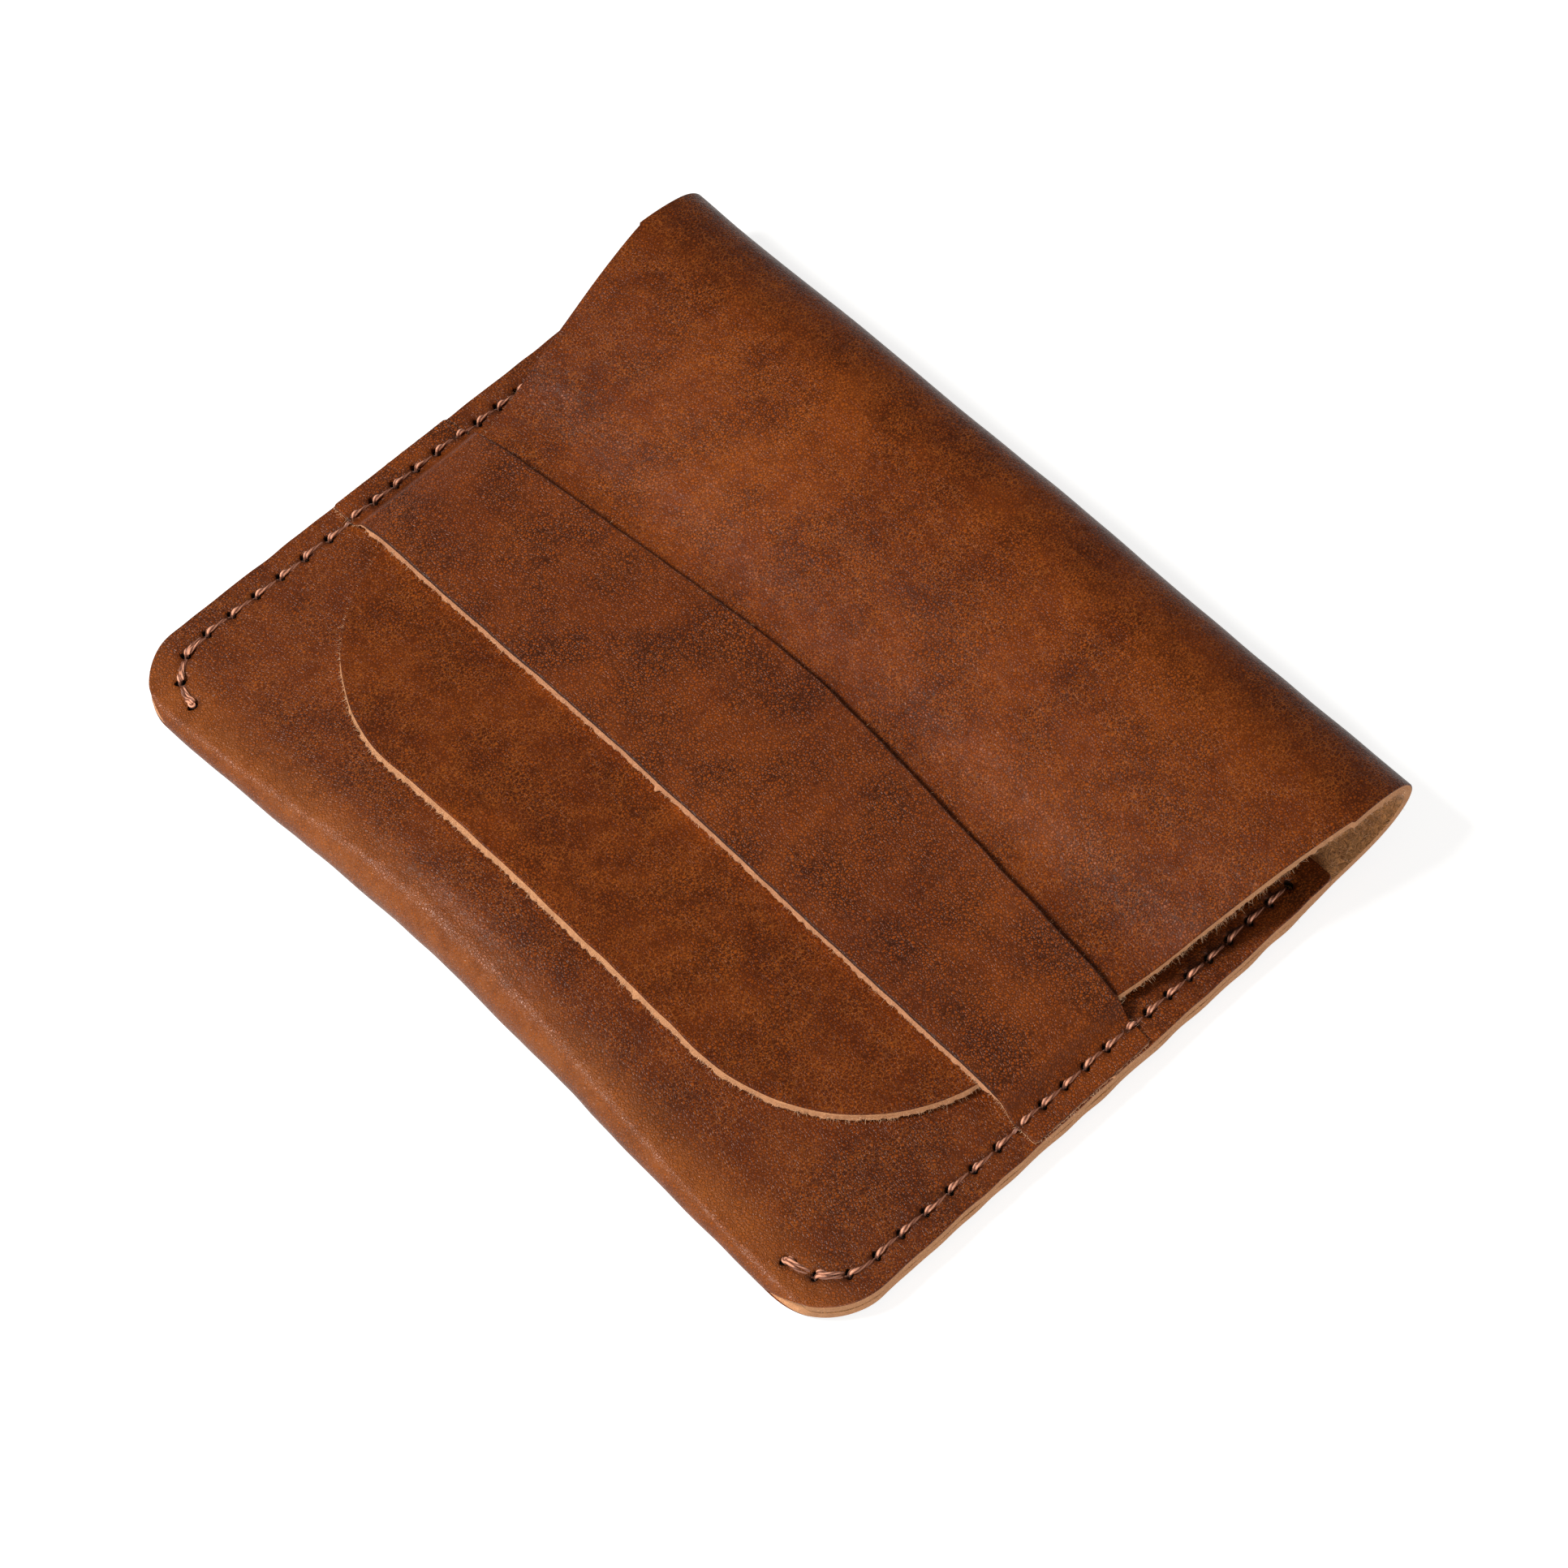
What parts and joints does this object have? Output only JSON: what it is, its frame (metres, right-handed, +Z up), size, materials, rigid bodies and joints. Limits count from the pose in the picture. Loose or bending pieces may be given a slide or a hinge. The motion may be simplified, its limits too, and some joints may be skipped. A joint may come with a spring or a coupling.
{
  "type": "card holder",
  "caption": "Folded leather card holder with one sewn pocket and a tapered flap whose rounded end tucks under a stitched strap.",
  "frame": {"origin": "centre of the bounding box in plan, on the plane the holder lies on", "axes": "+X along the folds to the right as seen from the pocket bottom, +Y from the bottom fold to the flap fold, +Z up through the front of the closed holder"},
  "size_m": [0.105, 0.0834, 0.0116],
  "materials": {
    "leather": "satin waxed pull-up grain, suede flesh side",
    "strap_leather": "satin waxed pull-up grain, suede flesh side",
    "waxed_thread": "waxed twisted polyester"
  },
  "bodies": {
    "holder": {"back_panel": "leather", "pocket_fold": "leather", "front_panel": "leather", "strap": "strap_leather", "seam_thread_left": "waxed_thread", "seam_thread_right": "waxed_thread"},
    "fold_lower": {"flap_fold_lower": "leather"},
    "fold_upper": {"flap_fold_upper": "leather"},
    "flap": {"flap_panel": "leather", "flap_tongue": "leather"}
  },
  "joints": [
    {"name": "fold_lower_bend", "type": "hinge", "parent": "holder", "child": "fold_lower", "pos_m": [0, 0.03936, 0.00361], "axis": [-1, 0, 0], "range_deg": [0, 60]},
    {"name": "fold_upper_bend", "type": "hinge", "parent": "fold_lower", "child": "fold_upper", "pos_m": [0, 0.04119, 0.00727], "axis": [-1, 0, 0], "range_deg": [0, 60]},
    {"name": "flap_bend", "type": "hinge", "parent": "fold_upper", "child": "flap", "pos_m": [0, 0.03746, 0.01091], "axis": [-1, 0, 0], "range_deg": [0, 60], "deforming": ["flap_tongue"]}
  ],
  "couplings": [
    {"joint": "fold_lower_bend", "follows": "flap_bend", "ratio": 1},
    {"joint": "fold_upper_bend", "follows": "flap_bend", "ratio": 1}
  ]
}
